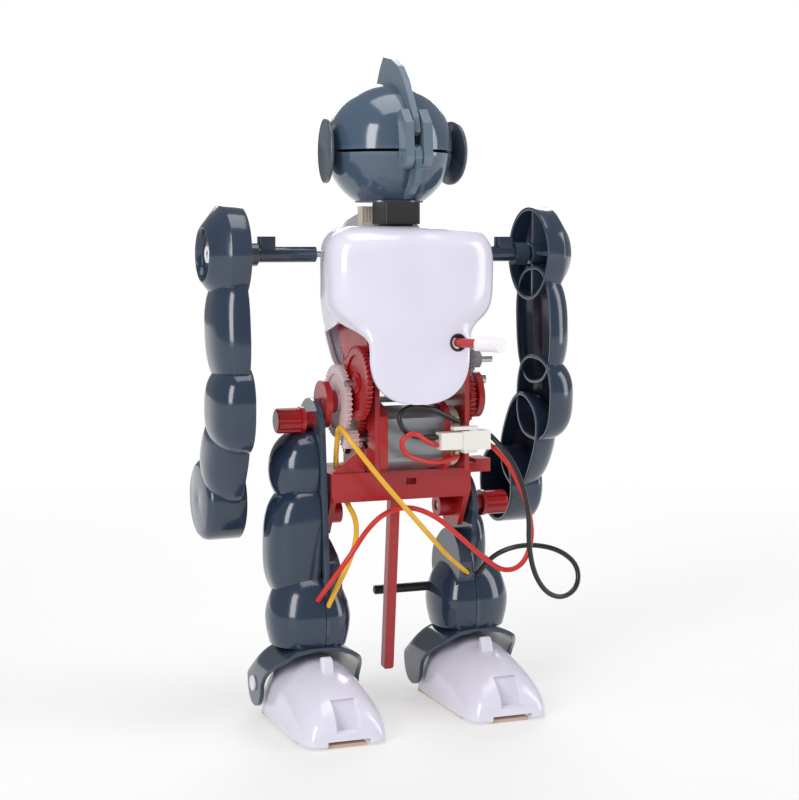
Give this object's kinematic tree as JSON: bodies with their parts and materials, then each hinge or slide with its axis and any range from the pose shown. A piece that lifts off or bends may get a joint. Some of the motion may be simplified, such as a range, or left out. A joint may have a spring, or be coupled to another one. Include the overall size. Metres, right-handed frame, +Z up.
{
  "type": "walking robot kit",
  "caption": "Two-legged motor-driven walking robot kit with hollow swinging arms, a gear train in the waist, crank-driven legs, a round head and loose battery leads.",
  "frame": {"origin": "middle of the bounding box, without the wires, on the floor under the feet", "axes": "+Z up, the robot faces -Y, its left side is +X"},
  "size_m": [0.1206, 0.0771, 0.205],
  "materials": {
    "white_shell": "gloss",
    "navy_shell": "gloss",
    "red_plastic": "gloss",
    "black_plastic": "satin",
    "steel": "satin",
    "cream_plastic": "satin",
    "sole_pad": "matte",
    "motor_steel": "satin",
    "brass_tab": "satin",
    "head_shell": "gloss",
    "ear_shell": "gloss",
    "crest_shell": "gloss",
    "connector_white": "satin",
    "red_wire": "satin",
    "black_wire": "satin",
    "yellow_wire": "satin",
    "cap_white": "gloss",
    "pale_gear": "satin",
    "grey_plastic": "satin",
    "cell_jacket": "gloss"
  },
  "bodies": {
    "torso": {"chest_front_shell": "white_shell", "chest_back_shell": "white_shell", "hip_frame": "red_plastic", "gearbox_plate_right": "red_plastic", "gearbox_plate_left": "red_plastic", "gearbox_pins": "steel", "body_screws": "steel", "motor_can": "motor_steel", "motor_end_bell": "cream_plastic", "motor_terminals": "brass_tab", "neck_block": "black_plastic", "head_lower_shell": "head_shell", "head_upper_shell": "head_shell", "ear_rod": "steel", "ear_discs": "ear_shell", "head_crest": "crest_shell", "visor_hinge": "crest_shell", "visor_rib": "crest_shell", "tail_stick": "red_plastic", "hip_pivot_pins": "steel", "connector_socket": "connector_white", "connector_plug": "connector_white", "wire_red_leg": "red_wire", "wire_black_leg": "black_wire", "wire_yellow_right": "yellow_wire", "wire_yellow_left": "yellow_wire", "motor_lead_black": "black_wire", "motor_lead_red": "red_wire"},
    "slider": {"power_slider": "cream_plastic"},
    "trigger": {"trigger_rod": "red_plastic", "trigger_cap": "cap_white"},
    "rotor": {"motor_shaft": "steel", "motor_pinion": "pale_gear"},
    "first_gear": {"first_reduction_gear": "pale_gear"},
    "second_gear": {"second_reduction_gear": "red_plastic"},
    "crank": {"crank_shaft": "steel", "crank_wheels": "red_plastic", "crank_discs": "red_plastic"},
    "idler": {"arm_idler_gear": "red_plastic"},
    "arms": {"shoulder_axle": "steel", "arm_wheel": "red_plastic", "axle_sleeves": "navy_shell", "arm_right": "navy_shell", "arm_left": "navy_shell"},
    "timing": {"timing_pinion": "grey_plastic"},
    "right_leg": {"leg_right_inner_shell": "navy_shell", "leg_right_outer_shell": "navy_shell", "ankle_yoke_right": "navy_shell", "battery_right": "cell_jacket", "knob_right": "red_plastic"},
    "left_leg": {"leg_left_inner_shell": "navy_shell", "leg_left_outer_shell": "navy_shell", "ankle_yoke_left": "navy_shell", "battery_left": "cell_jacket", "knob_left": "red_plastic", "knee_bar": "black_plastic"},
    "right_foot": {"foot_right": "white_shell", "foot_sole_right": "sole_pad"},
    "left_foot": {"foot_left": "white_shell", "foot_sole_left": "sole_pad"}
  },
  "joints": [
    {"name": "arm_turn", "type": "hinge", "parent": "torso", "child": "arms", "pos_m": [0, 0.00816, 0.144], "axis": [1, 0, 0], "continuous": true},
    {"name": "crank_turn", "type": "hinge", "parent": "torso", "child": "crank", "pos_m": [0, 0.00516, 0.0985], "axis": [1, 0, 0], "continuous": true},
    {"name": "idler_turn", "type": "hinge", "parent": "torso", "child": "idler", "pos_m": [0, 0.00233, 0.12435], "axis": [1, 0, 0], "continuous": true},
    {"name": "second_gear_turn", "type": "hinge", "parent": "torso", "child": "second_gear", "pos_m": [0, -0.00667, 0.105], "axis": [1, 0, 0], "continuous": true},
    {"name": "first_gear_turn", "type": "hinge", "parent": "torso", "child": "first_gear", "pos_m": [0, 0.00516, 0.0985], "axis": [1, 0, 0], "continuous": true},
    {"name": "motor_turn", "type": "hinge", "parent": "torso", "child": "rotor", "pos_m": [0, -0.00234, 0.08728], "axis": [1, 0, 0], "continuous": true},
    {"name": "timing_turn", "type": "hinge", "parent": "torso", "child": "timing", "pos_m": [0, 0.00216, 0.11063], "axis": [1, 0, 0], "continuous": true},
    {"name": "right_leg_swing", "type": "hinge", "parent": "torso", "child": "right_leg", "pos_m": [-0.025, 0.00816, 0.0635], "axis": [1, 0, 0], "range_deg": [-6, 6], "deforming": ["wire_red_leg", "wire_yellow_right"]},
    {"name": "left_leg_swing", "type": "hinge", "parent": "torso", "child": "left_leg", "pos_m": [0.025, 0.00816, 0.0635], "axis": [1, 0, 0], "range_deg": [-6, 6], "deforming": ["wire_black_leg", "wire_yellow_left"]},
    {"name": "right_ankle", "type": "hinge", "parent": "right_leg", "child": "right_foot", "pos_m": [-0.028, 0.01016, 0.0105], "axis": [1, 0, 0], "range_deg": [-10, 10]},
    {"name": "left_ankle", "type": "hinge", "parent": "left_leg", "child": "left_foot", "pos_m": [0.028, 0.01716, 0.0105], "axis": [1, 0, 0], "range_deg": [-10, 10]},
    {"name": "trigger_push", "type": "slide", "parent": "torso", "child": "trigger", "axis": [-0.342, 0.9397, 0], "range_m": [0, 0.004], "stiffness_N_per_m": 60},
    {"name": "power_slide", "type": "slide", "parent": "torso", "child": "slider", "axis": [1, 0, 0], "range_m": [0, 0.0025]}
  ],
  "couplings": [
    {"joint": "crank_turn", "follows": "arm_turn", "ratio": 0.5},
    {"joint": "idler_turn", "follows": "arm_turn", "ratio": -0.36667},
    {"joint": "second_gear_turn", "follows": "arm_turn", "ratio": -2.2},
    {"joint": "first_gear_turn", "follows": "arm_turn", "ratio": 9.68},
    {"joint": "motor_turn", "follows": "arm_turn", "ratio": -42.592},
    {"joint": "timing_turn", "follows": "arm_turn", "ratio": -0.88889},
    {"joint": "left_leg_swing", "follows": "right_leg_swing", "ratio": -1}
  ]
}
